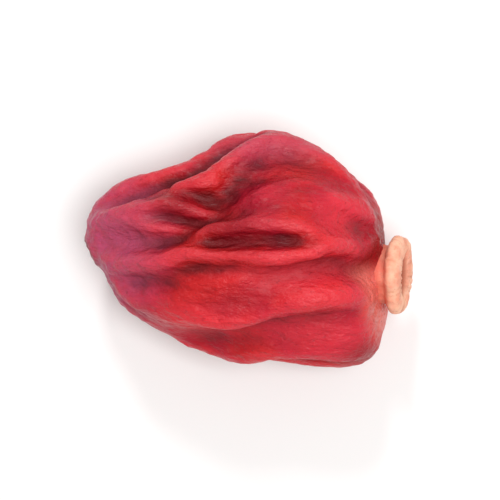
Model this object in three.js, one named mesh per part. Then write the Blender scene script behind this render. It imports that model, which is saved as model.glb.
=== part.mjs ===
// A dried barberry: one shrivelled, oblong fruit lying on its side, with the flower's dry stigma
// still on its broad end. Millimetres, +Z up. The fruit's long axis runs along X and the stigma is at +X.
import * as THREE from 'three';
import { mergeVertices } from 'three/addons/utils/BufferGeometryUtils.js';

// Driving dimensions of the fruit, measured from its waist: the widest cross-section.
const STALK_REACH = 4.84;       // waist to the narrow stalk end
const STIGMA_REACH = 3.62;      // waist to the broad stigma end
const HALF_WIDTH = 3.2;
const CROWN_HEIGHT = 2.85;      // waist axis up to the crown
const BELLY_DEPTH = 2.62;       // waist axis down to the belly, before it is pressed flat
const REST_DEPTH = 2.42;        // waist axis down to the surface that the fruit rests on

// How full the outline is: 2 is an ellipse, more is squarer and less is more pointed.
const STALK_FULLNESS = 1.62;
const FLANK_FULLNESS = 4.2;     // the broad end is square between its two shoulders
const CROWN_FULLNESS = 2.3;     // and round from its crown to its belly
const SECTION_FULLNESS = 2.2;
const STIGMA_TAPER = 0.018;     // how much narrower the broad half gets, per square millimetre
const DROOP = 0.052;            // sideways bend of the broad half, per square millimetre
const LEAN = 0.012;             // how far the crown of the broad end leans back, as its stigma does

// Folds that run from end to end, where the skin has sunk in between its ribs.
const RIB_COUNT = 8;
const FOLD_DEPTH = 0.32;
const FOLD_DRIFT = 0.3;         // how far a fold wanders round the fruit on its way, in radians

// Broad swellings (and hollows, with a negative rise) by the direction that they face.
const SWELLINGS = [
  { towards: [0.08, 1, 0.15], spread: 0.3, rise: 0.3 },       // the high point of the far flank
  { towards: [0.69, -0.72, 0], spread: 0.35, rise: 0.62 },    // the shoulder beside the stigma
  { towards: [0.05, -1, 0], spread: 0.34, rise: 0.2 },        // and the full flank that leads to it
  { towards: [0.85, 0.5, 0], spread: 0.33, rise: 0.14 },      // the lower shoulder on its other side
  { towards: [-0.95, 0.3, 0.05], spread: 0.3, rise: 0.16 },   // the heel of the narrow end
  { towards: [-0.7, 0.7, 0.1], spread: 0.36, rise: -0.27 },   // the slacker flank beside it
  { towards: [-1, -0.12, 0.05], spread: 0.2, rise: -0.34 },   // the shallow cup that held the stalk
  { towards: [-0.35, 0.5, 0.8], spread: 0.42, rise: -0.3 },   // a hollow in the top
  { towards: [0.5, 0.1, 1], spread: 0.5, rise: 0.16 },
  { towards: [0.1, -0.7, 0.8], spread: 0.4, rise: -0.14 },
];
const NECK_RISE = 0.56;         // flesh drawn up round the neck of the stigma
const NECK_SPREAD = 0.27;       // how wide that rise is, in radians seen from the waist
const SKIN_DETAIL = 15;         // cuts along each edge of the icosahedron that the skin starts from

// The stigma: a round plate on a short neck, with a thick ring and a pit in its middle.
const STIGMA_RADIUS = 1.12;
const NECK_RADIUS = 0.8;
const STIGMA_HEIGHT = 0.62;     // seat to the top of the ring
const RIM_THICKNESS = 0.36;
const RING_RADIUS = 0.76;       // middle of the ring's crest
const PIT_RADIUS = 0.26;
const PIT_DEPTH = 0.3;
const STIGMA_SEGMENTS = 32;
const STIGMA_TILT = THREE.MathUtils.degToRad(18);    // its face looks a little upwards
const STIGMA_TURN = THREE.MathUtils.degToRad(-3);    // and a little to one side
const SEAT_REACH = 3.88;        // waist to the flat seat of the stigma, along the stigma's own axis
const SEAT_SIDE = -0.55;        // the seat is a little off the fruit's axis
const SEAT_LIFT = -1.1;
const SEAT_GAP = 0.02;

const seatNormal = new THREE.Vector3(
  Math.cos(STIGMA_TILT) * Math.cos(STIGMA_TURN),
  Math.cos(STIGMA_TILT) * Math.sin(STIGMA_TURN),
  Math.sin(STIGMA_TILT)
);
const seatCentre = new THREE.Vector3(0, SEAT_SIDE, SEAT_LIFT).addScaledVector(seatNormal, SEAT_REACH);
const swellings = SWELLINGS.map(({ towards, spread, rise }) => (
  { towards: new THREE.Vector3(...towards).normalize(), spread, rise }
));

// A smooth hump that is 1 at its middle and fades out over the given spread of angle.
const hump = (angle, spread) => Math.exp(-((angle / spread) ** 2));

// How far the skin has sunk at an angle round the fruit: 0 on a rib and 1 in the middle of a hollow.
function foldDepth(around, along) {
  const wander = FOLD_DRIFT * Math.sin(1.7 * along + 0.8) + 0.1 * Math.sin(4.3 * along + 2 * around);
  const uneven = 0.5 * Math.sin(2 * around + 1.1) + 0.3 * Math.sin(3 * around - 0.7);
  const strength = 0.65 + 0.35 * Math.sin(2.6 * along + 3 * around);
  return strength * (0.5 - 0.5 * Math.cos(RIB_COUNT * (around + wander) + uneven));
}

// The superellipsoid that the fruit would be with no folds: its radius in the given direction.
function fullRadius(direction) {
  const reach = direction.x < 0 ? STALK_REACH : STIGMA_REACH;
  const flank = direction.y ** 2 / (direction.y ** 2 + direction.z ** 2 + 1e-9);
  const fullness = direction.x < 0 ? STALK_FULLNESS : THREE.MathUtils.lerp(CROWN_FULLNESS, FLANK_FULLNESS, flank);
  const halfHeight = direction.z < 0 ? BELLY_DEPTH : CROWN_HEIGHT;
  const section = ((Math.abs(direction.y) / HALF_WIDTH) ** SECTION_FULLNESS
    + (Math.abs(direction.z) / halfHeight) ** SECTION_FULLNESS) ** (1 / SECTION_FULLNESS);
  return ((Math.abs(direction.x) / reach) ** fullness + section ** fullness) ** (-1 / fullness);
}

// A point of the skin in the given direction from the waist's centre.
function skinPoint(direction) {
  const around = Math.atan2(direction.z, direction.y);
  const offAxis = Math.hypot(direction.y, direction.z);
  const belly = THREE.MathUtils.smoothstep(-direction.z, 0.45, 0.95);
  let radius = fullRadius(direction);
  for (const { towards, spread, rise } of swellings) {
    radius += rise * hump(direction.angleTo(towards), spread);
  }
  radius -= FOLD_DEPTH * foldDepth(around, direction.x) * offAxis * (1 - 0.85 * belly);
  radius += NECK_RISE * hump(direction.angleTo(seatCentre), NECK_SPREAD);
  const point = direction.clone().multiplyScalar(radius);
  const broadHalf = Math.max(point.x, 0) ** 2;
  point.y = point.y * (1 - STIGMA_TAPER * broadHalf) - DROOP * broadHalf;
  point.x -= LEAN * broadHalf * point.z;
  return point;
}

function makeFruit() {
  const geometry = new THREE.IcosahedronGeometry(1, SKIN_DETAIL);
  geometry.deleteAttribute('normal');
  geometry.deleteAttribute('uv');
  const skin = mergeVertices(geometry, 1e-5);
  const position = skin.getAttribute('position');
  const direction = new THREE.Vector3();
  for (let i = 0; i < position.count; i++) {
    const point = skinPoint(direction.fromBufferAttribute(position, i).normalize());
    const aboveSeat = point.clone().sub(seatCentre).dot(seatNormal);
    if (aboveSeat > 0) point.addScaledVector(seatNormal, -aboveSeat);
    position.setXYZ(i, point.x, point.y, Math.max(point.z, -REST_DEPTH));
  }
  skin.computeVertexNormals();
  const skinFinish = new THREE.MeshStandardMaterial({ color: 0xb8323c, roughness: 0.5, metalness: 0 });
  const fruit = new THREE.Mesh(skin, skinFinish);
  fruit.name = 'fruit';
  return fruit;
}

// Half a section of the stigma, from the middle of its seat to the middle of its pit.
function stigmaProfile() {
  const rimBottom = STIGMA_HEIGHT - RIM_THICKNESS;
  const profile = new THREE.Path();
  profile.moveTo(0, 0);
  profile.lineTo(NECK_RADIUS + 0.1, 0);
  profile.quadraticCurveTo(NECK_RADIUS, 0.5 * rimBottom, NECK_RADIUS + 0.1, rimBottom - 0.05);
  profile.quadraticCurveTo(STIGMA_RADIUS - 0.08, rimBottom, STIGMA_RADIUS, rimBottom + 0.14);
  profile.quadraticCurveTo(STIGMA_RADIUS + 0.01, STIGMA_HEIGHT - 0.03, RING_RADIUS, STIGMA_HEIGHT);
  profile.quadraticCurveTo(PIT_RADIUS + 0.12, STIGMA_HEIGHT, PIT_RADIUS, STIGMA_HEIGHT - 0.45 * PIT_DEPTH);
  profile.quadraticCurveTo(0.6 * PIT_RADIUS, STIGMA_HEIGHT - PIT_DEPTH, 0, STIGMA_HEIGHT - PIT_DEPTH);
  return profile.getPoints(3);
}

function makeStigma() {
  const plate = new THREE.LatheGeometry(stigmaProfile(), STIGMA_SEGMENTS);
  const plateFinish = new THREE.MeshStandardMaterial({ color: 0xdba37f, roughness: 0.8, metalness: 0 });
  const stigma = new THREE.Mesh(plate, plateFinish);
  stigma.name = 'stigma';
  stigma.quaternion.setFromUnitVectors(new THREE.Vector3(0, 1, 0), seatNormal);
  stigma.position.copy(seatCentre).addScaledVector(seatNormal, SEAT_GAP);
  return stigma;
}

const berry = new THREE.Group();
berry.add(makeFruit(), makeStigma());

// The origin is on the resting surface, under the middle of the berry's length and width.
const middle = new THREE.Box3().setFromObject(berry, true).getCenter(new THREE.Vector3());
berry.position.set(-middle.x, -middle.y, REST_DEPTH);

export default berry;
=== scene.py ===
# %% [markdown]
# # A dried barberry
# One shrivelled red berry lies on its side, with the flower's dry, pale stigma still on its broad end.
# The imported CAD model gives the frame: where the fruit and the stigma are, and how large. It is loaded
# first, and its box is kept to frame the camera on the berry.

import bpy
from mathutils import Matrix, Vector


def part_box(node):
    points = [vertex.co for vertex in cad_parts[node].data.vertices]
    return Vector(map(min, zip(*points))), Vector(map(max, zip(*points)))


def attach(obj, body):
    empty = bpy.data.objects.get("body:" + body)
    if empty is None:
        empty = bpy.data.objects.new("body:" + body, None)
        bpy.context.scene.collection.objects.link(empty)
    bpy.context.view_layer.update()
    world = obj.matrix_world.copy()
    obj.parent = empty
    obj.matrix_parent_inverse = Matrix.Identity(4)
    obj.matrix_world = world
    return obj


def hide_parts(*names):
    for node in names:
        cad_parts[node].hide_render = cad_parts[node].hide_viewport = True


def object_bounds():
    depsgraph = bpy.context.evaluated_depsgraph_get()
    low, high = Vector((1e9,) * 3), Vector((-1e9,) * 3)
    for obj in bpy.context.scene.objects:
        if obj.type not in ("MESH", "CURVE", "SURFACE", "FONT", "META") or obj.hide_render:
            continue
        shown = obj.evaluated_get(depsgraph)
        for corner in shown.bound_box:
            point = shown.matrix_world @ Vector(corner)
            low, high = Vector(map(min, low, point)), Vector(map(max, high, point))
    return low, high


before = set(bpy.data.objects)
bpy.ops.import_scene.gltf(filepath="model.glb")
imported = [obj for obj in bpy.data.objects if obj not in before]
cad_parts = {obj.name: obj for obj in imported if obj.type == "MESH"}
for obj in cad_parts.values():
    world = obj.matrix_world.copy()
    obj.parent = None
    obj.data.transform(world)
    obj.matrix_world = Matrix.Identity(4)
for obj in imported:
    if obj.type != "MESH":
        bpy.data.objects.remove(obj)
cad_box = [list(map(float, corner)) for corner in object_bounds()]

import math
from functools import partial

import bmesh
import bpy
import numpy as np
from mathutils import Matrix, Vector, noise
from mathutils.bvhtree import BVHTree

MM = 0.001
print("CAD box in mm:", [[round(c / MM, 2) for c in corner] for corner in cad_box])


# %% [markdown]
# ## Where the stigma sits
# The stigma is a round plate on a short neck. Its axis isn't written anywhere, but a round plate spreads
# widely in two directions and hardly at all in the third, so the direction in which its points spread
# least is its axis. The skin has to stay put round the neck, so this is worked out before the skin.

# %% Find the stigma's axis, seat and size
def points_mm(mesh):
    """The mesh's vertices in millimetres, as three rows: x, y and z."""
    flat = np.empty(3 * len(mesh.vertices))
    mesh.vertices.foreach_get("co", flat)
    return flat.reshape(-1, 3).T / MM


def smoothstep(low, high, value):
    t = np.clip((value - low) / (high - low), 0, 1)
    return t * t * (3 - 2 * t)


plate = points_mm(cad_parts["stigma"].data)
plate_middle = plate.mean(axis=1)
_, directions = np.linalg.eigh(np.cov(plate))
stigma_axis = directions[:, 0] * np.sign(directions[0, 0])
up_axis = stigma_axis @ (plate - plate_middle[:, None])
stigma_height = np.ptp(up_axis)
seat = plate_middle + stigma_axis * up_axis.min()
from_seat = plate - seat[:, None]
off_axis = from_seat - np.outer(stigma_axis, stigma_axis @ from_seat)
stigma_radius = np.sqrt((off_axis ** 2).sum(axis=0)).max()
print(f"stigma: {2 * stigma_radius:.2f} mm across, {stigma_height:.2f} mm high, tilted "
      f"{math.degrees(math.asin(stigma_axis[2])):.0f} degrees")


# %% [markdown]
# ## The skin, while it is still full
# A ripe berry's skin is smooth and tight, which is the shape of the CAD fruit. The skin is going to be
# wrinkled by moving its points, and that needs an even net of triangles in which nearly every point has
# six neighbours. A ball made from an icosahedron is such a net, so one is pulled onto the fruit: each of
# its points goes to where a ray from the middle of the fruit meets the fruit's surface.

# %% Pull an even ball of triangles onto the fruit
BALL_CUTS = 6                       # 10,242 points, about 0.13 mm apart on the berry

fruit_low, fruit_high = (np.array(corner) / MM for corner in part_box("fruit"))
fruit_middle = (fruit_low + fruit_high) / 2
fruit_surface = bmesh.new()
fruit_surface.from_mesh(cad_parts["fruit"].data)
fruit_tree = BVHTree.FromBMesh(fruit_surface)
fruit_surface.free()

net = bmesh.new()
bmesh.ops.create_icosphere(net, subdivisions=BALL_CUTS, radius=1.0)
on_ball = net.verts.layers.float_vector.new("on_ball")
ray_start = Vector(fruit_middle) * MM
for point in net.verts:
    point[on_ball] = point.co.normalized()
    hit, _, _, _ = fruit_tree.ray_cast(ray_start, point[on_ball])
    point.co = hit / MM
print(f"skin: {len(net.verts)} points and {len(net.faces)} triangles")


# %% [markdown]
# ## How the berry dries
# Wrinkles could be painted on with noise, but real ones follow from how a berry dries. The flesh shrinks
# away from a skin that can't shrink as much, and most of all round the fruit, because the seeds hold its
# length. So the skin is too large for what it covers, and it buckles into ribs that run from end to end.
# That is short enough to work out directly, with no cloth solver:
#
# * each edge of the net wants to be longer than it is, by more round the fruit than along it;
# * bending is resisted, and the flesh underneath pulls each point back towards itself;
# * the flesh gives way outwards more than inwards, so crests are narrow and hollows are broad;
# * the neck of the stigma and the scar of the stalk hold the skin where it is.
#
# How stiff the skin is against the flesh sets how far apart the wrinkles are. Where they start is set by
# a few places that stand out or have sunk in already, and by a little unevenness everywhere else.

# %% The net's own arithmetic
def neighbour_table(net):
    """Six rows of neighbours for each point. A point with five is its own sixth, which adds nothing."""
    net.verts.index_update()
    ends = np.array([[point.index for point in edge.verts] for edge in net.edges])
    here, there = np.concatenate([ends, ends[:, ::-1]]).T
    order = np.argsort(here, kind="stable")
    here, there = here[order], there[order]
    count = np.bincount(here)
    first = np.cumsum(count) - count
    table = np.tile(np.arange(len(count)), (count.max(), 1))
    table[np.arange(len(here)) - first[here], here] = there
    return table, count.astype(np.float32)


def to_middle_of_neighbours(values, table, count):
    """How far each point's value is from the mean of its neighbours' values."""
    total = values[:, table[0]]
    for row in table[1:]:
        total = total + values[:, row]
    return (total - len(table) * values) / count


def smoothed_out(values, table, count, rounds):
    """Moves each value halfway to the mean of its neighbours' values, for a number of rounds."""
    for _ in range(rounds):
        values = values + 0.5 * to_middle_of_neighbours(values, table, count)
    return values


def net_places(net):
    return np.array([point.co for point in net.verts], dtype=np.float32).T.copy()


def outward(net, places):
    """Moves the net to these places and gives each point's outward normal."""
    for point, place in zip(net.verts, places.T):
        point.co = place
    net.normal_update()
    return np.array([point.normal for point in net.verts], dtype=np.float32).T


def length_of(vectors):
    return np.sqrt((vectors ** 2).sum(axis=0))


# %% Where folds start
UPPER_SIDE = (2.0, 3.2)             # heights in mm between which the starts come in
STALK_SCAR = np.array([-4.5, -0.1, 2.5])     # middle of the scar that the stalk left, in millimetres
FOLD_STARTS = [       # x, y, turn in degrees, length, width and push, seen from above in millimetres
    (0.6, -0.6, -2, 2.8, 0.45, 1.2),         # the long ridge along the top
    (0.9, -2.55, 5, 2.3, 0.5, 1.3),          # the full, bright fold beside the shoulder
    (0.5, 1.5, 0, 1.0, 0.6, 0.9),            # the dome of the crown
    (0.9, 2.75, -15, 2.2, 0.4, 1.0),         # the far rim
    (-2.7, -0.2, 0, 1.1, 0.5, 0.6),          # the middle of the narrow end
    (-1.0, 0.5, 10, 1.4, 0.4, -1.3),         # the furrow above the narrow end
    (-0.2, -1.6, 0, 2.0, 0.4, -0.7),         # the hollow below the long ridge
]


def fold_starts(places):
    """A push for each point of the upper side: out where a fold starts and in where a hollow does."""
    push = np.zeros(places.shape[1])
    for x, y, degrees, length, width, strength in FOLD_STARTS:
        turn = math.radians(degrees)
        offset_x, offset_y = places[0] - x, places[1] - y
        along = math.cos(turn) * offset_x + math.sin(turn) * offset_y
        across = math.cos(turn) * offset_y - math.sin(turn) * offset_x
        push += strength * np.exp(-(along / length) ** 2 - (across / width) ** 2)
    return push * smoothstep(*UPPER_SIDE, places[2])


# Here the flesh stayed full, so the skin folds less. In millimetres: x, y, reach along each, and rise.
PLUMP_SPOTS = [
    (1.2, 1.4, 1.3, 0.9, 0.12),
    (1.7, -2.4, 1.5, 0.8, 0.16),
    (-2.3, -2.1, 1.1, 0.7, 0.2),
    (-0.4, -1.2, 1.6, 0.7, 0.12),
]
SPOT_HEIGHTS = (0.8, 2.4)           # heights in mm between which a spot comes in


def spots_on_top(places, spots):
    """For each spot and point, from 0 to 1: how near the point is, seen from above, if it faces up."""
    upper = smoothstep(*SPOT_HEIGHTS, places[2])
    return [upper * np.exp(-((places[0] - x) / reach_x) ** 2 - ((places[1] - y) / reach_y) ** 2)
            for x, y, reach_x, reach_y in spots]


def unevenness(places, size, seed):
    """Soft noise, about as wide as size in mm, that depends only on where a point is."""
    shift = Vector((seed * 7.3, seed * 3.1, seed * 5.7))
    values = [noise.noise(Vector(place) / size + shift) for place in places.T]
    return np.array(values, dtype=np.float32)


# %% Let a skin that is too large settle
NECK_HOLD = (0.8, 1.2)              # from the seat, in mm: held as far as the first, free from the second
SCAR_HOLD = (0.1, 0.6)              # and the same from the middle of the scar
PLUMP_CALM = 0.6                    # how much of the skin's growth a plump spot takes away
SPEED_KEPT = 0.9                    # share of its speed that a point keeps from step to step
PULL = 1.4                          # how hard an edge pulls towards its length: past 1 it settles sooner
PULL_SPEED = 0.5                    # how much of that pull turns into speed
GROWN_AFTER = 0.6                   # share of the steps in which the skin reaches its whole growth
NORMALS_EVERY = 20                  # steps between looks at which way is out
FACET_ROUNDS = 2                    # rounds of smoothing that soften the net's facets before it dries
PULL_ROUNDS = 2                     # times that every edge pulls in each step


def dry_out(net, round_growth, long_growth, stiffness, hold, firmness, shrink, steps, start):
    """Buckles the net in place. Growth is the skin's size over its flesh's, and start is in mm."""
    table, count = neighbour_table(net)
    places = smoothed_out(net_places(net), table, count, FACET_ROUNDS)
    normal = outward(net, places)
    before = places.copy()
    free = smoothstep(*NECK_HOLD, length_of(places - seat[:, None]))
    free *= smoothstep(*SCAR_HOLD, length_of(places - STALK_SCAR[:, None]))
    free = free.astype(np.float32)
    plump = spots_on_top(places, [spot[:4] for spot in PLUMP_SPOTS])
    rise = sum(spot[4] * share for spot, share in zip(PLUMP_SPOTS, plump)) if shrink else 0
    flesh = (places - (shrink - rise) * free * normal).astype(np.float32)
    slack = (free * (1 - PLUMP_CALM * np.minimum(sum(plump), 1))).astype(np.float32)

    lengthwise = -normal[0] * normal
    lengthwise[0] += 1
    flank = length_of(lengthwise)                # 1 on the sides and 0 at the two ends
    lengthwise /= np.maximum(flank, 1e-6)
    around = long_growth + (round_growth - long_growth) * flank ** 2
    edges = []
    for row in table:
        step = places[:, row] - places
        length = length_of(step) + 1e-9
        along_share = ((step * lengthwise).sum(axis=0) / length) ** 2
        growth = np.sqrt(along_share * long_growth ** 2 + (1 - along_share) * around ** 2) - 1
        edges.append((row, length, growth * slack))

    places = (places + start * free * normal).astype(np.float32)
    speed = np.zeros_like(places)
    for number in range(steps):
        grown = min(1.0, (number + 1) / (GROWN_AFTER * steps))
        if number % NORMALS_EVERY == 0:
            normal = outward(net, places)
            sunk = ((places - flesh) * normal).sum(axis=0) < 0
            support = hold * np.where(sunk, firmness, 1).astype(np.float32)
        curl = to_middle_of_neighbours(to_middle_of_neighbours(places, table, count), table, count)
        speed = SPEED_KEPT * speed - stiffness * curl - support * (places - flesh)
        places = places + speed * free
        pushed = places
        for _ in range(PULL_ROUNDS):
            pull = np.zeros_like(places)
            for row, length, growth in edges:
                step = places[:, row] - places
                now = np.sqrt(step[0] * step[0] + step[1] * step[1] + step[2] * step[2]) + 1e-9
                pull += step * (0.5 - 0.5 * length * (1 + growth * grown) / now)
            places = places + PULL * free * pull / count
        speed += PULL_SPEED * (places - pushed)
        places[2] = np.maximum(places[2], 0)
    outward(net, places)
    return length_of(places - before).max()


# %% Dry it twice: broad folds first, and then fine ones on a finer net
FOLD_PUSH = 0.15                    # how far a start of strength 1 moves the skin, in millimetres
BROAD_PUSH, FINE_PUSH = 0.1, 0.14   # and how far the unevenness does

places = net_places(net)
start = FOLD_PUSH * fold_starts(places) + BROAD_PUSH * unevenness(places, size=0.9, seed=1)
moved = dry_out(net, round_growth=1.21, long_growth=1.03, stiffness=0.17, hold=0.0012, firmness=3,
                shrink=0.1, steps=400, start=start)
print(f"broad folds: the skin moved up to {moved:.2f} mm")

bmesh.ops.subdivide_edges(net, edges=net.edges[:], cuts=1, use_grid_fill=True)
start = FINE_PUSH * unevenness(net_places(net), size=0.42, seed=2)
moved = dry_out(net, round_growth=1.42, long_growth=1.0, stiffness=0.5, hold=0.004, firmness=1.5,
                shrink=0, steps=180, start=start)
print(f"fine folds: the skin moved up to {moved:.2f} mm, on {len(net.faces)} triangles")


# %% [markdown]
# ## What the dried skin keeps
# The last ripples are no wider than the net's own edges. They come from the net and not from the berry,
# so two rounds of smoothing take them out. Drying also moves the furthest crests, by about a quarter of a
# millimetre at most, so the skin is scaled back into the box of the CAD fruit.
#
# Colour follows shape on a dried berry: crests are clear and hollows are dark, partly from the pulp and
# partly as painted shade. It also differs from place to place: some spots of the upper side are lightened
# as painted light and others darkened as painted shade, and the stalk end and the far rim get a dusky pink,
# which is wax bloom at the stalk end and painted rim light along the far rim. So each point keeps how far
# it stands above the smoothed-out surface round it, how far it is from the neck and from the stalk's scar,
# and how much it belongs to a few lit, shaded and dusky spots of the upper side.

# %% Fit the skin to the fruit's box, and tell ridges from hollows
COLOUR_SPOTS = {      # x, y and reach along each, in millimetres
    "clear": [
        (1.3, -0.7, 1.8, 0.5), (1.8, -2.3, 1.7, 0.6), (-1.7, -1.9, 1.3, 0.5), (2.3, 0.9, 0.8, 0.7)],
    "dark": [(-0.5, 0.5, 1.0, 0.55), (-2.0, 1.2, 0.7, 0.45), (3.2, -2.9, 0.7, 0.5)],
    "bloom_and_rim_light": [(0.7, 2.9, 2.4, 0.45), (-3.6, 0.2, 1.1, 1.4)],
}
SCAR_RADIUS = 0.4                   # the middle of the rim round the stalk's scar, in millimetres
SCAR_RIM = 0.07
SCAR_DEPTH = 0.16
SCAR_EDGE = 0.3                     # how soft its edge is, as a share of its radius
RIPPLE_ROUNDS = 2                   # rounds of smoothing that take out the net's ripples
BROAD_ROUNDS, BROAD_RANGE = 150, 0.25       # rounds that smooth folds out, and a full crest in mm
FINE_ROUNDS, FINE_RANGE = 12, 0.03          # and the same for the fine folds


def keep_values(mesh, name, values):
    """Stores one number for each point, for a material or a node tree to read by its name."""
    attribute = mesh.attributes.new(name, "FLOAT", "POINT")
    attribute.data.foreach_set("value", values.astype(np.float32))


table, count = neighbour_table(net)
places = smoothed_out(net_places(net), table, count, RIPPLE_ROUNDS)
low, high = places.min(axis=1), places.max(axis=1)
print("dried skin in mm:", np.round(low, 2), np.round(high, 2))
fit = (fruit_high - fruit_low) / (high - low)
places = (fruit_low[:, None] + (places - low[:, None]) * fit[:, None]).astype(np.float32)
normal = outward(net, places)
above_broad = ((places - smoothed_out(places, table, count, BROAD_ROUNDS)) * normal).sum(axis=0)
above_fine = ((places - smoothed_out(places, table, count, FINE_ROUNDS)) * normal).sum(axis=0)
print(f"broad ridges and hollows: {above_broad.min():.2f} to {above_broad.max():.2f} mm, "
      f"fine ones: {above_fine.min():.3f} to {above_fine.max():.3f} mm")

# The stalk left a small cup with a raised rim.
from_scar = length_of(places - STALK_SCAR[:, None])
scar_rise = SCAR_RIM * np.exp(-((from_scar - SCAR_RADIUS) / (SCAR_EDGE * SCAR_RADIUS)) ** 2)
scar_rise -= SCAR_DEPTH * smoothstep(SCAR_RADIUS, SCAR_EDGE * SCAR_RADIUS, from_scar)
places = (places + scar_rise * normal).astype(np.float32)
outward(net, places)

bmesh.ops.scale(net, vec=Vector((MM, MM, MM)), verts=net.verts[:])
skin_mesh = bpy.data.meshes.new("shrivelled_skin")
net.to_mesh(skin_mesh)
net.free()
skin_mesh.polygons.foreach_set("use_smooth", [True] * len(skin_mesh.polygons))
keep_values(skin_mesh, "broad_ridge", smoothstep(-BROAD_RANGE, BROAD_RANGE, above_broad))
keep_values(skin_mesh, "fine_ridge", smoothstep(-FINE_RANGE, FINE_RANGE, above_fine))
keep_values(skin_mesh, "from_neck", length_of(places - seat[:, None]))
keep_values(skin_mesh, "from_scar", from_scar)
keep_values(skin_mesh, "past_neck", places[1] - seat[1])
for name, spots in COLOUR_SPOTS.items():
    keep_values(skin_mesh, name, np.minimum(sum(spots_on_top(places, spots)), 1))
skin = bpy.data.objects.new("shrivelled_skin", skin_mesh)
bpy.context.collection.objects.link(skin)


# %% [markdown]
# The exported berry wears its colours as a picture, which is laid out by a UV map. Each point still knows
# where it was on the ball, before any wrinkle, so the ball's upper and lower halves are laid out as two
# discs, one above the other, that no fold can make overlap. The seam runs round the berry's waist.

# %% Lay the skin out as two discs
DISC_REACH = (0.47, 0.235)          # half width and half height of a disc in the unit square

ball = np.empty(3 * len(skin_mesh.vertices))
skin_mesh.attributes["on_ball"].data.foreach_get("vector", ball)
ball = ball.reshape(-1, 3)
ball /= np.linalg.norm(ball, axis=1, keepdims=True)
corners = np.empty(len(skin_mesh.loops), dtype=int)
skin_mesh.loops.foreach_get("vertex_index", corners)
corners = ball[corners].reshape(-1, 3, 3)
half = np.where(corners[:, :, 2].mean(axis=1) > 0, 1.0, -1.0)[:, None]
from_pole = np.arccos(np.clip(corners[:, :, 2] * half, -1, 1)) / (math.pi / 2)
spread_out = from_pole / np.maximum(np.hypot(corners[:, :, 0], corners[:, :, 1]), 1e-9)
across = 0.5 + DISC_REACH[0] * spread_out * corners[:, :, 0]
upward = 0.5 + 0.25 * half + DISC_REACH[1] * spread_out * corners[:, :, 1] * half
layout = skin_mesh.uv_layers.new(name="OFBake")
layout.data.foreach_set("uv", np.stack([across, upward], axis=2).astype(np.float32).ravel())
skin_mesh.attributes.remove(skin_mesh.attributes["on_ball"])
print(f"layout: {across.min():.3f} to {across.max():.3f} by {upward.min():.3f} to {upward.max():.3f}")


# %% [markdown]
# ## Small helpers for nodes and colours
# Materials and node trees are both built from nodes, so one function adds a node with its settings and
# its links. Colours are written as sRGB hex values, as a colour picker shows them, and turned to linear.
#
# Both finishes are built up like paint: a first colour, and then layers over it. A layer follows a value
# that differs from place to place, such as how high a point stands, and comes in between two of its values.

# %% Node and colour helpers
ADD, MULTIPLY, DIVIDE, MULTIPLY_ADD, SCALE = (
    {"operation": name} for name in ("ADD", "MULTIPLY", "DIVIDE", "MULTIPLY_ADD", "SCALE"))
SMOOTH = {"interpolation_type": "SMOOTHSTEP"}
LINEAR = {"interpolation_type": "LINEAR"}
FOUR_D = {"noise_dimensions": "4D"}
TO_WAVE = {"in1": 4.0, "in2": -2.0}     # with MULTIPLY_ADD, turns noise into a wave from about -1 to 1


def add_node(tree, kind, settings=None, **inputs):
    """Adds a node. Inputs are by name, or inN by number: a value, a socket, or a node for its result."""
    node = tree.nodes.new(kind)
    for name, value in (settings or {}).items():
        setattr(node, name, value)
    for name, value in inputs.items():
        numbered = name.startswith("in") and name[2:].isdigit()
        socket = node.inputs[int(name[2:])] if numbered else node.inputs[name.replace("_", " ")]
        if isinstance(value, bpy.types.Node):
            value = next(output for output in value.outputs if output.enabled)
        if isinstance(value, bpy.types.NodeSocket):
            tree.links.new(value, socket)
        else:
            socket.default_value = value
    return node


def linear(hex_colour):
    """An sRGB hex colour as linear red, green, blue and alpha."""
    channels = [int(hex_colour[i:i + 2], 16) / 255 for i in (1, 3, 5)]
    return [c / 12.92 if c <= 0.04045 else ((c + 0.055) / 1.055) ** 2.4 for c in channels] + [1]


def blank_material(name, attributes):
    """A new material, its emptied tree, and the points' stored numbers that its nodes read."""
    material = bpy.data.materials.new(name)
    material.use_nodes = True
    tree = material.node_tree
    tree.nodes.clear()
    stored = {attribute: add_node(tree, "ShaderNodeAttribute", {"attribute_name": attribute}).outputs["Fac"]
              for attribute in attributes}
    return material, tree, stored


def paint(tree, colour, layers):
    """Lays colours over the first. A layer is the value it follows, where it starts and where it is
    whole, the most that it covers, how it comes in, and its colour."""
    for follows, start, whole, most, way_in, layer in layers:
        share = add_node(tree, "ShaderNodeMapRange", way_in, in0=follows, in1=start, in2=whole, in4=most)
        colour = add_node(tree, "ShaderNodeMix", {"data_type": "RGBA"}, in0=share, in6=colour, in7=layer)
    return colour


# %% [markdown]
# ## The skin's finish
# Dried barberry skin is a thin, waxy, half see-through film over dark red pulp. Light goes a little way
# into it, so crests are a clear scarlet or pink, and hollows, where the pulp is close, are deep crimson.
# The hollows are also darkened further as painted shade, and the finest crests carry a painted highlight.
# The stalk end keeps some of the fruit's dusky, purplish wax bloom. The gloss is soft and uneven, and
# hollows are the dullest.

# %% Dried barberry skin: waxy film over pulp, clear on crests and dark in hollows, with painted shade and highlights
SKIN_GRAINS = {       # size in millimetres, detail, and scale along the berry: under 1 draws it out
    "patches": (2.2, 2, 1.0),
    "mottle": (0.55, 4, 0.6),
    "bloom": (0.5, 4, 1.0),
    "freckles": (0.11, 1, 1.0),
    "torn": (0.14, 3, 1.0),
    "gloss": (0.35, 3, 1.0),
    "pucker": (0.17, 3, 0.45),
    "pores": (0.045, 2, 1.0),
}


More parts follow.
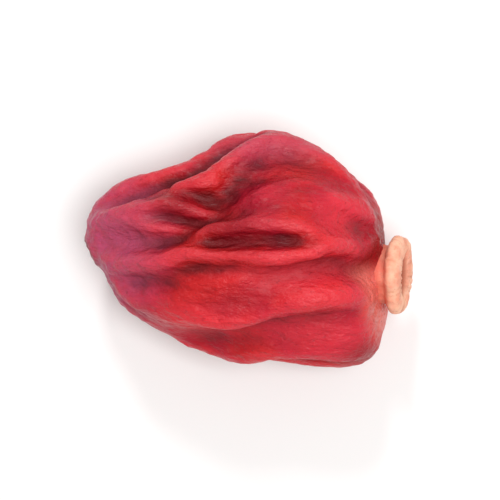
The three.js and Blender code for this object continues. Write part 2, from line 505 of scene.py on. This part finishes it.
def dried_barberry_skin():
    material, tree, stored = blank_material("dried_barberry_skin", [
        "broad_ridge", "fine_ridge", "from_neck", "past_neck", "from_scar", "clear", "dark", "bloom_and_rim_light"])
    add = partial(add_node, tree)
    coordinates = add("ShaderNodeTexCoord").outputs["Object"]
    grain = {}
    for name, (size_mm, detail, along) in SKIN_GRAINS.items():
        place = add("ShaderNodeMapping", in0=coordinates, in3=(along, 1, 1))
        grain[name] = add("ShaderNodeTexNoise", in0=place, Scale=1 / (size_mm * MM), Detail=detail,
                          Roughness=0.55)

    # How high a point stands, from 0 in a hollow to 1 on a crest, made a little uneven.
    mottle = add("ShaderNodeMapRange", SMOOTH, in0=grain["mottle"], in1=0.3, in2=0.7, in3=-0.14, in4=0.14)
    broad = add("ShaderNodeMath", MULTIPLY_ADD, in0=stored["broad_ridge"], in1=0.6, in2=mottle)
    fine = add("ShaderNodeMath", MULTIPLY, in0=stored["fine_ridge"], in1=0.4)
    height = add("ShaderNodeMath", ADD | {"use_clamp": True}, in0=broad, in1=fine)

    # Dark red in the hollows, partly pulp and partly painted shade, and film on the crests, each in a bluer
    # and a browner red.
    hollow, flank, crest = (
        paint(tree, linear(bluer), [(grain["patches"], 0.38, 0.62, 1.0, SMOOTH, linear(browner))])
        for bluer, browner in (("#560612", "#62090d"), ("#9c1026", "#ac1519"), ("#c02036", "#cc2424")))

    # Bloom near the stalk end, rubbed off in places, and beside the neck pale salmon flesh below it with
    # painted shade, a dark red, above it.
    near_stalk = add("ShaderNodeMapRange", SMOOTH, in0=stored["from_scar"], in1=3.4, in2=0.8)
    left_on = add("ShaderNodeMapRange", SMOOTH, in0=grain["bloom"], in1=0.3, in2=0.62, in3=0.35, in4=0.9)
    bloom = add("ShaderNodeMath", MULTIPLY, in0=near_stalk, in1=left_on)
    neck_flesh_and_shade = paint(tree, linear("#e8766a"), [
        (stored["past_neck"], -0.2, 0.5, 1.0, SMOOTH, linear("#8e1214"))])
    torn = add("ShaderNodeMath", MULTIPLY_ADD, in0=grain["torn"], in1=0.35, in2=stored["from_scar"])

    # The darkest red sits in the hollows, partly as the pulp's own colour and partly as painted shade.
    colour = paint(tree, hollow, [
        (height, 0.05, 0.5, 1.0, SMOOTH, flank),
        (height, 0.45, 0.95, 1.0, SMOOTH, crest),
        # painted highlight: the fine crests are lightened to a pale scarlet pink
        (stored["fine_ridge"], 0.7, 1.0, 0.5, SMOOTH, linear("#d8404c")),
        # painted light: the spots kept as clear are lightened to a bright scarlet
        (stored["clear"], 0.0, 1.0, 0.6, LINEAR, linear("#e83a48")),
        # painted shade: these spots are darkened to a deep crimson
        (stored["dark"], 0.0, 1.0, 0.7, LINEAR, linear("#7c0a14")),
        # dusky pink: wax bloom at the narrow end, and painted rim light along the far rim
        (stored["bloom_and_rim_light"], 0.0, 1.0, 0.6, LINEAR, linear("#b44a60")),
        (bloom, 0.0, 1.0, 1.0, LINEAR, linear("#b4486a")),
        # beside the neck: pale salmon flesh below it, and painted shade, dark red, above it
        (stored["from_neck"], 2.2, 1.2, 0.85, SMOOTH, neck_flesh_and_shade),
        (grain["freckles"], 0.62, 0.76, 0.3, SMOOTH, linear("#7d1422")),
        (torn, 0.72, 0.5, 0.8, SMOOTH, linear("#8c3440")),
        (torn, 0.5, 0.3, 1.0, SMOOTH, linear("#4a2019")),
    ])

    patchy = add("ShaderNodeMapRange", SMOOTH, in0=grain["gloss"], in1=0.3, in2=0.7, in3=0.28, in4=0.44)
    duller = add("ShaderNodeMapRange", SMOOTH, in0=stored["broad_ridge"], in1=0.6, in2=0.1, in4=0.25)
    roughness = add("ShaderNodeMath", ADD, in0=patchy, in1=duller)
    pucker = add("ShaderNodeBump", Strength=0.9, Distance=0.12 * MM, Height=grain["pucker"])
    pores = add("ShaderNodeBump", Strength=0.6, Distance=0.02 * MM, Height=grain["pores"], Normal=pucker)
    surface = add("ShaderNodeBsdfPrincipled", Base_Color=colour, Roughness=roughness, Normal=pores,
                  IOR=1.45, Specular_IOR_Level=0.2, Coat_Weight=0.05, Coat_Roughness=0.22,
                  Subsurface_Weight=0.2, Subsurface_Radius=(1.0, 0.22, 0.14), Subsurface_Scale=0.45 * MM)
    add("ShaderNodeOutputMaterial", Surface=surface)
    return material


# %% [markdown]
# ## The stigma
# The stigma is the flat, round top of the flower's pistil. On the ripe fruit it is a thick, corky ring
# with a sunken, dark middle, and it dries to a pale, crimped plate. It is turned from half a section,
# as on a lathe, and then its rim is crimped and its pit is drawn out into a slit by a node tree.

# %% Turn the stigma from its section
RINGS_AROUND = 160
SECTION = [          # distance from the axis and height above the seat, as shares of radius and height
    (0.84, -0.55), (0.78, -0.1), (0.74, 0.12), (0.77, 0.28), (0.88, 0.37), (0.97, 0.48), (1.0, 0.62),
    (0.99, 0.78), (0.94, 0.9), (0.86, 0.97), (0.75, 1.0), (0.63, 0.99), (0.52, 0.97), (0.42, 0.93),
    (0.34, 0.86), (0.27, 0.74), (0.2, 0.6), (0.13, 0.5), (0.07, 0.45), (0.0, 0.44),
]


def smooth_section(points, per_span):
    """A Catmull-Rom curve through the points."""
    points = np.array(points)
    padded = np.vstack([2 * points[0] - points[1], points, 2 * points[-1] - points[-2]])
    t = np.linspace(0, 1, per_span, endpoint=False)[:, None]
    curve = []
    for a, b, c, d in zip(padded, padded[1:], padded[2:], padded[3:]):
        curve.append(0.5 * (2 * b + (c - a) * t + (2 * a - 5 * b + 4 * c - d) * t ** 2
                            + (3 * b - a - 3 * c + d) * t ** 3))
    return np.vstack(curve + [points[-1:]])


def turn_on_lathe(section, turns):
    """A closed shape turned round the axis, from a section that ends on the axis at the top."""
    net = bmesh.new()
    rings = []
    for radius, height in section[:-1]:
        ring = []
        for k in range(turns):
            angle = 2 * math.pi * k / turns
            ring.append(net.verts.new((radius * math.cos(angle), radius * math.sin(angle), height)))
        rings.append(ring)
    for lower, upper in zip(rings, rings[1:]):
        for k in range(turns):
            net.faces.new((lower[k], lower[k - turns + 1], upper[k - turns + 1], upper[k]))
    top = net.verts.new((0, 0, section[-1][1]))
    bottom = net.verts.new((0, 0, section[0][1]))
    for k in range(turns):
        net.faces.new((rings[-1][k], rings[-1][k - turns + 1], top))
        net.faces.new((rings[0][k - turns + 1], rings[0][k], bottom))
    return net


section = smooth_section(SECTION, per_span=4) * (stigma_radius * MM, stigma_height * MM)
stigma_net = turn_on_lathe(section, RINGS_AROUND)
stigma_mesh = bpy.data.meshes.new("dry_stigma")
stigma_net.to_mesh(stigma_mesh)
stigma_net.free()
stigma_mesh.polygons.foreach_set("use_smooth", [True] * len(stigma_mesh.polygons))
turned = points_mm(stigma_mesh)
keep_values(stigma_mesh, "from_axis", length_of(turned[:2]) / stigma_radius)
keep_values(stigma_mesh, "up_plate", turned[2] / stigma_height)
stigma = bpy.data.objects.new("dry_stigma", stigma_mesh)
bpy.context.collection.objects.link(stigma)
print(f"stigma section: {len(section)} points, {len(stigma_mesh.polygons)} faces")


# %% [markdown]
# ## Crimping the plate
# Drying crimps a stigma's edge like a pie crust, bends the plate and draws its pit out into a slit. All
# three follow from how far a point is from the axis and which way it lies, so a Geometry Nodes tree
# does it: noise on the point's direction goes once round the ring and joins up with itself.

# %% The tree that crimps a round plate
def new_tree(name, sockets):
    """A Geometry Nodes tree with these inputs, and nodes for its input and output."""
    tree = bpy.data.node_groups.new(name, "GeometryNodeTree")
    tree.interface.new_socket("Geometry", in_out="INPUT", socket_type="NodeSocketGeometry")
    for socket, kind in sockets.items():
        tree.interface.new_socket(socket, in_out="INPUT", socket_type="NodeSocket" + kind)
    tree.interface.new_socket("Geometry", in_out="OUTPUT", socket_type="NodeSocketGeometry")
    return tree, add_node(tree, "NodeGroupInput"), add_node(tree, "NodeGroupOutput")


def finish_tree(tree, given, result, geometry):
    """Realizes the geometry and gives it the tree's material."""
    solid = add_node(tree, "GeometryNodeRealizeInstances", Geometry=geometry)
    finished = add_node(tree, "GeometryNodeSetMaterial", Geometry=solid, Material=given.outputs["Material"])
    tree.links.new(finished.outputs[0], result.inputs[0])


def crimped_plate_tree():
    tree, given, result = new_tree("crimped_plate", {
        "Radius": "Float", "Crimps Around": "Float", "Crimp Depth": "Float", "Warp": "Float",
        "Slit": "Float", "Seed": "Float", "Material": "Material"})
    add = partial(add_node, tree)
    radius, crimps_around, crimp_depth, warp, slit, seed = given.outputs[1:7]

    # Which way each point lies from the axis, and its share of the way out to the rim.
    place = add("GeometryNodeInputPosition")
    flat = add("ShaderNodeVectorMath", MULTIPLY, in0=place, in1=(1, 1, 0))
    towards = add("ShaderNodeVectorMath", {"operation": "NORMALIZE"}, in0=flat)
    from_axis = add("ShaderNodeVectorMath", {"operation": "LENGTH"}, in0=flat)
    share = add("ShaderNodeMath", DIVIDE, in0=from_axis, in1=radius)
    outer = add("ShaderNodeMapRange", SMOOTH, in0=share, in1=0.45, in2=1.0)

    # Three waves: crimps follow one another round the ring, pleats also change on the way out, and the
    # bend is broad.
    round_trip = add("ShaderNodeMath", DIVIDE, in0=crimps_around, in1=2 * math.pi)
    ring_place = add("ShaderNodeVectorMath", SCALE, in0=towards, Scale=round_trip)
    way_out = add("ShaderNodeMath", MULTIPLY, in0=share, in1=0.8)
    outwards = add("ShaderNodeVectorMath", SCALE, in0=towards, Scale=way_out)
    radial_place = add("ShaderNodeVectorMath", ADD, in0=ring_place, in1=outwards)
    pleat_place = add("ShaderNodeVectorMath", SCALE, in0=radial_place, Scale=1.9)
    bend_seed = add("ShaderNodeMath", ADD, in0=seed, in1=5.0)
    waves = []
    for wave_place, wave_seed, scale, detail in (
            (ring_place, seed, 1.0, 1.0), (pleat_place, seed, 1.0, 2.0), (towards, bend_seed, 0.8, 1.0)):
        texture = add("ShaderNodeTexNoise", FOUR_D, Vector=wave_place, W=wave_seed, Scale=scale,
                      Detail=detail)
        waves.append(add("ShaderNodeMath", MULTIPLY_ADD, in0=texture, **TO_WAVE))
    crimp, pleat, bend = waves

    # Crimps push the rim in and out; the bend and the pleats move the plate up and down.
    outer_crimp = add("ShaderNodeMath", MULTIPLY, in0=crimp, in1=outer)
    scallop = add("ShaderNodeMath", MULTIPLY, in0=outer_crimp, in1=crimp_depth)
    outward_move = add("ShaderNodeVectorMath", SCALE, in0=towards, Scale=scallop)
    outer_bend = add("ShaderNodeMath", MULTIPLY, in0=bend, in1=outer)
    lift = add("ShaderNodeMath", MULTIPLY, in0=outer_bend, in1=warp)
    face = add("ShaderNodeMapRange", SMOOTH, in0=share, in1=0.1, in2=0.5)
    face_pleat = add("ShaderNodeMath", MULTIPLY, in0=pleat, in1=face)
    pleat_depth = add("ShaderNodeMath", MULTIPLY, in0=crimp_depth, in1=0.55)
    pleat_lift = add("ShaderNodeMath", MULTIPLY, in0=face_pleat, in1=pleat_depth)
    rise = add("ShaderNodeMath", ADD, in0=lift, in1=pleat_lift)
    up = add("ShaderNodeCombineXYZ", Z=rise)

    # The pit is drawn out one way and closed up the other, into a slit.
    middle = add("ShaderNodeMapRange", SMOOTH, in0=share, in1=0.75, in2=0.2)
    pit = add("ShaderNodeMath", MULTIPLY, in0=middle, in1=slit)
    both_ways = add("ShaderNodeVectorMath", MULTIPLY, in0=place, in1=(1.0, -0.75, 0))
    drawn_out = add("ShaderNodeVectorMath", SCALE, in0=both_ways, Scale=pit)
    crimped = add("ShaderNodeVectorMath", ADD, in0=outward_move, in1=up)
    move = add("ShaderNodeVectorMath", ADD, in0=crimped, in1=drawn_out)

    # The finish darkens the pleats, so each point keeps how far it was pleated.
    mark = add("ShaderNodeMath", MULTIPLY_ADD, in0=crimp, in1=0.6, in2=pleat)
    marked = add("GeometryNodeStoreNamedAttribute", Geometry=given.outputs[0], Name="pleat", Value=mark)
    shaped = add("GeometryNodeSetPosition", Geometry=marked, Offset=move)
    finish_tree(tree, given, result, shaped)
    return tree


def shape_with(piece, tree, **inputs):
    """Runs a node tree on a piece, keeps the result as its plain mesh and removes the modifier."""
    modifier = piece.modifiers.new(tree.name, "NODES")
    modifier.node_group = tree
    for item in tree.interface.items_tree:
        name = item.name.replace(" ", "_")
        if item.in_out == "INPUT" and name in inputs:
            modifier[item.identifier] = inputs[name]
    shaped = piece.evaluated_get(bpy.context.evaluated_depsgraph_get())
    mesh = bpy.data.meshes.new_from_object(shaped)
    mesh.name = piece.name
    piece.modifiers.remove(modifier)
    piece.data = mesh
    print(f"{piece.name}: {len(mesh.vertices)} points after {tree.name}")


# %% [markdown]
# ## The stigma's finish
# The plate is dead, corky tissue: matt, the colour of cream and peach, browner in its pleats and nearly
# black-brown in the pit. Red juice has dried into the neck and the underside of the rim.

# %% Dry cork of the stigma: matt cream and peach, with a brown pit
CORK_GRAINS = {"patches": (0.5, 3), "flecks": (0.07, 2), "rough": (0.08, 3)}    # size in mm and detail


def dry_stigma_cork():
    material, tree, stored = blank_material("dry_stigma_cork", ["from_axis", "up_plate", "pleat"])
    add = partial(add_node, tree)
    coordinates = add("ShaderNodeTexCoord").outputs["Object"]
    grain = {name: add("ShaderNodeTexNoise", Vector=coordinates, Scale=1 / (size_mm * MM), Detail=detail)
             for name, (size_mm, detail) in CORK_GRAINS.items()}
    colour = paint(tree, linear("#f8bd9f"), [
        (grain["patches"], 0.38, 0.62, 1.0, SMOOTH, linear("#f19f83")),
        (stored["pleat"], 0.1, -1.1, 0.85, SMOOTH, linear("#cf8163")),
        (grain["flecks"], 0.58, 0.72, 0.4, SMOOTH, linear("#b8694c")),
        (stored["from_axis"], 0.46, 0.24, 1.0, SMOOTH, linear("#a1523a")),
        (stored["from_axis"], 0.27, 0.18, 1.0, SMOOTH, linear("#33110d")),
        (stored["up_plate"], 0.5, -0.1, 0.9, SMOOTH, linear("#d4594a")),
    ])
    rough = add("ShaderNodeBump", Strength=0.6, Distance=0.02 * MM, Height=grain["rough"])
    surface = add("ShaderNodeBsdfPrincipled", Base_Color=colour, Roughness=0.75, Normal=rough, IOR=1.4,
                  Subsurface_Weight=0.15, Subsurface_Radius=(1.0, 0.5, 0.3), Subsurface_Scale=0.2 * MM)
    add("ShaderNodeOutputMaterial", Surface=surface)
    return material


shape_with(stigma, crimped_plate_tree(), Radius=stigma_radius * MM, Crimps_Around=17.0,
           Crimp_Depth=0.06 * MM, Warp=0.07 * MM, Slit=0.5, Seed=3.0, Material=dry_stigma_cork())


# %% [markdown]
# ## Fine creases
# Between the folds, dried skin is covered in fine creases, most of them lengthwise. They are only a few of
# the net's edges wide, too small to buckle out of it cleanly, so a second tree moves the skin's points
# along their normals by noise that is stretched along the berry. Real ones can be finer than these, which
# are drawn a quarter of a millimetre wide so that they show.

# %% The tree that creases the skin
def fine_creases_tree():
    tree, given, result = new_tree("fine_creases", {
        "Crease Depth": "Float", "Crease Width": "Float", "Crease Length": "Float", "Seed": "Float",
        "Material": "Material"})
    add = partial(add_node, tree)
    length, width = given.outputs["Crease Length"], given.outputs["Crease Width"]
    size = add("ShaderNodeCombineXYZ", X=length, Y=width, Z=width)
    crease_place = add("ShaderNodeVectorMath", DIVIDE, in0=add("GeometryNodeInputPosition"), in1=size)
    texture = add("ShaderNodeTexNoise", FOUR_D, Vector=crease_place, W=given.outputs["Seed"], Scale=1.0,
                  Detail=2.0)
    crease = add("ShaderNodeMath", MULTIPLY_ADD, in0=texture, **TO_WAVE)
    depth = add("ShaderNodeMath", MULTIPLY, in0=crease, in1=given.outputs["Crease Depth"])
    move = add("ShaderNodeVectorMath", SCALE, in0=add("GeometryNodeInputNormal"), Scale=depth)
    creased = add("GeometryNodeSetPosition", Geometry=given.outputs[0], Offset=move)
    finish_tree(tree, given, result, creased)
    return tree


shape_with(skin, fine_creases_tree(), Crease_Depth=0.04 * MM, Crease_Width=0.26 * MM,
           Crease_Length=0.75 * MM, Seed=1.0, Material=dried_barberry_skin())


# %% [markdown]
# ## Putting the stigma on its seat
# The plate was turned about its own upright axis. Its mesh is now turned so that this axis is the one
# that was found at the start, and moved to the seat, so the object itself stays at the origin.

# %% Place the stigma
up = Vector(stigma_axis)
side = Vector((0, 1, 0)).cross(up).normalized()
turn = Matrix((up.cross(side), side, up)).transposed().to_4x4()
stigma.data.transform(Matrix.Translation(Vector(seat) * MM) @ turn)
stigma_points = points_mm(stigma.data)
print("stigma in mm:", stigma_points.min(axis=1).round(2), stigma_points.max(axis=1).round(2))


# %% [markdown]
# ## Floor, light and camera
# The berry lies on a plain white surface under soft, even light: a bright, pale surround, one broad lamp
# high up and a little to the right to shape the folds, and a small one behind the berry for soft gloss.
# The camera looks straight down through a long lens, so the berry's height changes its outline little.

# %% Floor and light
FLOOR_REACH = 400 * MM
SURROUND_STRENGTH = 0.43


def lamp(name, place_mm, size_mm, power):
    light = bpy.data.lights.new(name, "AREA")
    light.size, light.energy = size_mm * MM, power
    lamp_object = bpy.data.objects.new(name, light)
    lamp_object.location = Vector(place_mm) * MM
    lamp_object.rotation_euler = (-Vector(place_mm)).to_track_quat("-Z", "Y").to_euler()
    bpy.context.collection.objects.link(lamp_object)


floor_mesh = bpy.data.meshes.new("floor")
floor_corners = [(x * FLOOR_REACH, y * FLOOR_REACH, 0) for x, y in ((-1, -1), (1, -1), (1, 1), (-1, 1))]
floor_mesh.from_pydata(floor_corners, [], [(0, 1, 2, 3)])
floor_finish = bpy.data.materials.new("white_paper")
floor_finish.use_nodes = True
paper = floor_finish.node_tree.nodes["Principled BSDF"]
paper.inputs["Base Color"].default_value = linear("#f4f3f2")
paper.inputs["Roughness"].default_value = 0.9
floor_mesh.materials.append(floor_finish)
floor = bpy.data.objects.new("floor", floor_mesh)
bpy.context.collection.objects.link(floor)

surround = bpy.data.worlds.new("soft_surround")
surround.use_nodes = True
surround.node_tree.nodes["Background"].inputs["Color"].default_value = linear("#fdfcfb")
surround.node_tree.nodes["Background"].inputs["Strength"].default_value = SURROUND_STRENGTH
bpy.context.scene.world = surround
lamp("broad_lamp", place_mm=(18, -6, 90), size_mm=45, power=0.06)
lamp("gloss_lamp", place_mm=(-10, 60, 60), size_mm=12, power=0.02)
bpy.context.scene.view_settings.view_transform = "Standard"


# %% Camera
BERRY_SHARE = 0.66                  # how much of the picture's width the berry takes up
LONG_LENS = 100                     # focal length in millimetres

camera_data = bpy.data.cameras.new("camera")
camera_data.lens = LONG_LENS
camera_data.clip_start = 1 * MM
berry_low, berry_high = (np.array(corner) for corner in cad_box)
berry_middle = (berry_low + berry_high) / 2
picture_width = (berry_high[0] - berry_low[0]) / BERRY_SHARE
distance = picture_width * camera_data.lens / camera_data.sensor_width
camera = bpy.data.objects.new("camera", camera_data)
camera.location = (berry_middle[0], berry_middle[1], berry_middle[2] + distance)
bpy.context.collection.objects.link(camera)
bpy.context.scene.camera = camera


# %% Join the pieces to the frame and finish
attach(skin, "root")
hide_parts("fruit")
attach(stigma, "root")
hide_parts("stigma")
